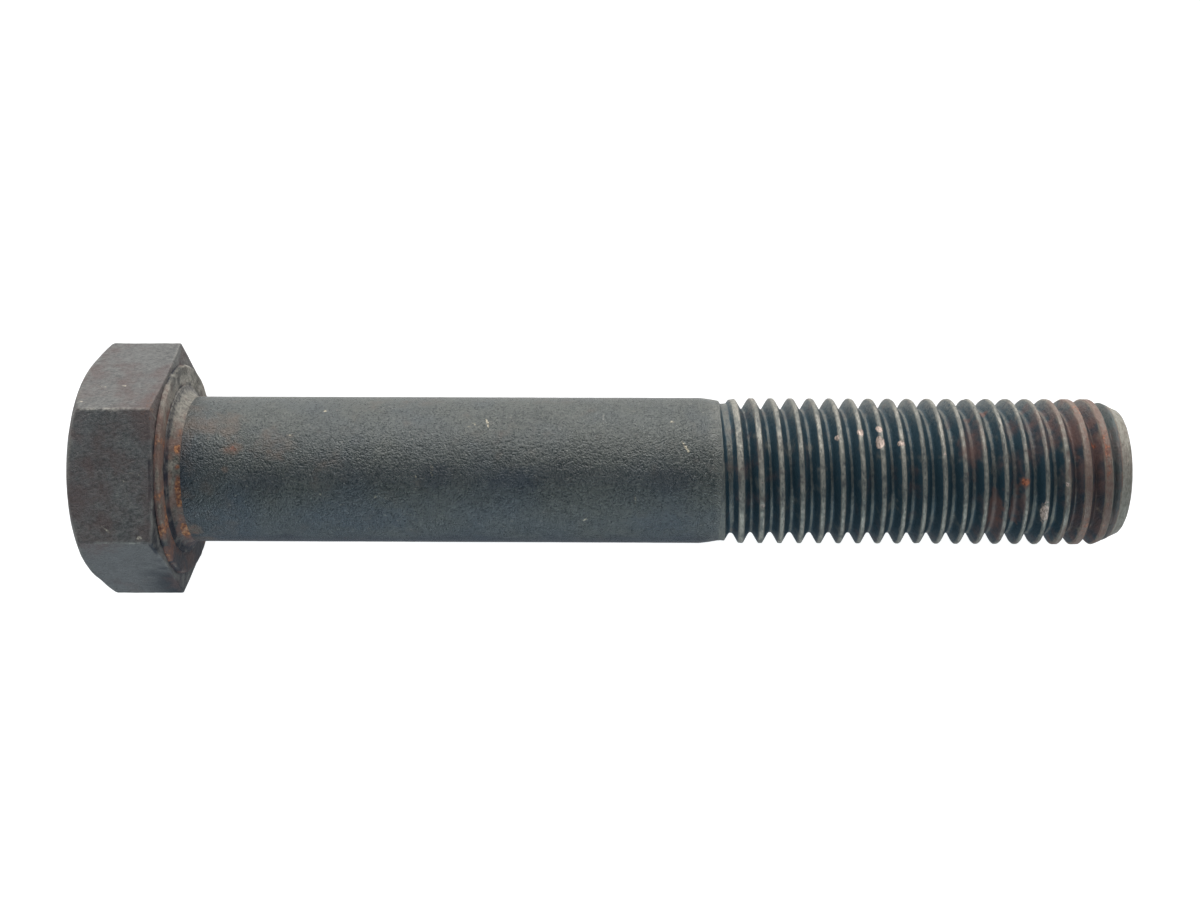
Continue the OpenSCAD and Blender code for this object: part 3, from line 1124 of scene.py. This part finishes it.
def soft_light(name, place, target, width, height, watts, colour):
    data = bpy.data.lights.new(name, "AREA")
    data.shape = "RECTANGLE"
    data.size, data.size_y = width, height
    data.energy = watts
    data.color = colour
    obj = bpy.data.objects.new(name, data)
    obj.location = place
    obj.rotation_euler = (Vector(target) - Vector(place)).to_track_quat("-Z", "Y").to_euler()
    bpy.context.scene.collection.objects.link(obj)


def world():
    """Soft room light: pale towards the key side, dim overhead and on the other side."""
    studio = bpy.data.worlds.new("studio")
    bpy.context.scene.world = studio
    studio.use_nodes = True
    tree = studio.node_tree
    place = tree.nodes.new("ShaderNodeTexCoord")
    split = tree.nodes.new("ShaderNodeSeparateXYZ")
    tree.links.new(place.outputs["Generated"], split.inputs[0])

    def faded(axis, start, end, below, above):
        """One colour or socket below a start along an axis, fading to another above an end."""
        ramp = tree.nodes.new("ShaderNodeMapRange")
        ramp.inputs["From Min"].default_value = start
        ramp.inputs["From Max"].default_value = end
        mix = tree.nodes.new("ShaderNodeMix")
        mix.data_type = "RGBA"
        tree.links.new(split.outputs[axis], ramp.inputs["Value"])
        tree.links.new(ramp.outputs[0], mix.inputs[0])
        for socket, colour in ((mix.inputs[6], below), (mix.inputs[7], above)):
            if isinstance(colour, tuple):
                socket.default_value = (*colour, 1)
            else:
                tree.links.new(colour, socket)
        return mix.outputs[2]

    horizon = faded("Y", -0.5, 0.6, (0.26, 0.29, 0.33), (1.30, 1.30, 1.26))
    sky = faded("Z", 0.0, 0.75, horizon, (0.14, 0.18, 0.22))
    tree.links.new(sky, tree.nodes["Background"].inputs["Color"])
    tree.nodes["Background"].inputs["Strength"].default_value = 0.8


# Lens and sensor width in millimetres
CAMERA_LENS = 46.71
CAMERA_SENSOR = 36
CAMERA_DISTANCE = 10.7704 * SHANK_R * 2
CAMERA_SHIFT = (-2.8452 * SHANK_R * 2, -0.1289 * SHANK_R * 2)
# Radians about X, Y and Z
CAMERA_TURNS = (math.radians(3.01), -0.0100, -0.0033)


def camera():
    """Looks down on the bolt from +Z, a little turned about each axis."""
    about_x, about_y, about_z = CAMERA_TURNS
    turn = (Matrix.Rotation(about_z, 3, "Z") @ Matrix.Rotation(about_y, 3, "Y")
            @ Matrix.Rotation(about_x, 3, "X"))
    data = bpy.data.cameras.new("camera")
    data.lens = CAMERA_LENS
    data.sensor_width = CAMERA_SENSOR
    data.clip_start = 0.01
    obj = bpy.data.objects.new("camera", data)
    back = turn.transposed()
    place = -(back @ Vector((*CAMERA_SHIFT, -CAMERA_DISTANCE)))
    obj.matrix_world = Matrix.Translation(place) @ back.to_4x4()
    bpy.context.scene.collection.objects.link(obj)
    bpy.context.scene.camera = obj


MIDDLE = ((TOP_X + BOLT_END) / 2, 0, 0)
# What builds each piece, the CAD node it replaces and its slot
PIECES = [
    (head, "head", "head_steel"),
    (washer, "washer_face", "bearing_steel"),
    (fillet, "underhead_fillet", "bearing_steel"),
    (shank, "shank", "shank_steel"),
    (neck, "neck", "shank_steel"),
    (thread, "thread", "thread_steel"),
    (point, "point", "thread_steel"),
]

camera()
world()
floor()
soft_light("key", place=(0.05, 0.54, 0.17), target=MIDDLE, width=1.10, height=0.42, watts=6.5,
           colour=(1.0, 0.985, 0.95))
soft_light("fill", place=(0.08, -0.54, 0.15), target=MIDDLE, width=0.60, height=0.24, watts=2.35,
           colour=(0.84, 0.96, 0.98))
bpy.context.scene.view_settings.view_transform = "Standard"

steels = {
    "head_steel": head_steel(),
    "bearing_steel": bearing_steel(),
    "shank_steel": shank_steel(),
    "thread_steel": thread_steel(),
}
for build, node, slot in PIECES:
    place_piece(build(), node, steels[slot])
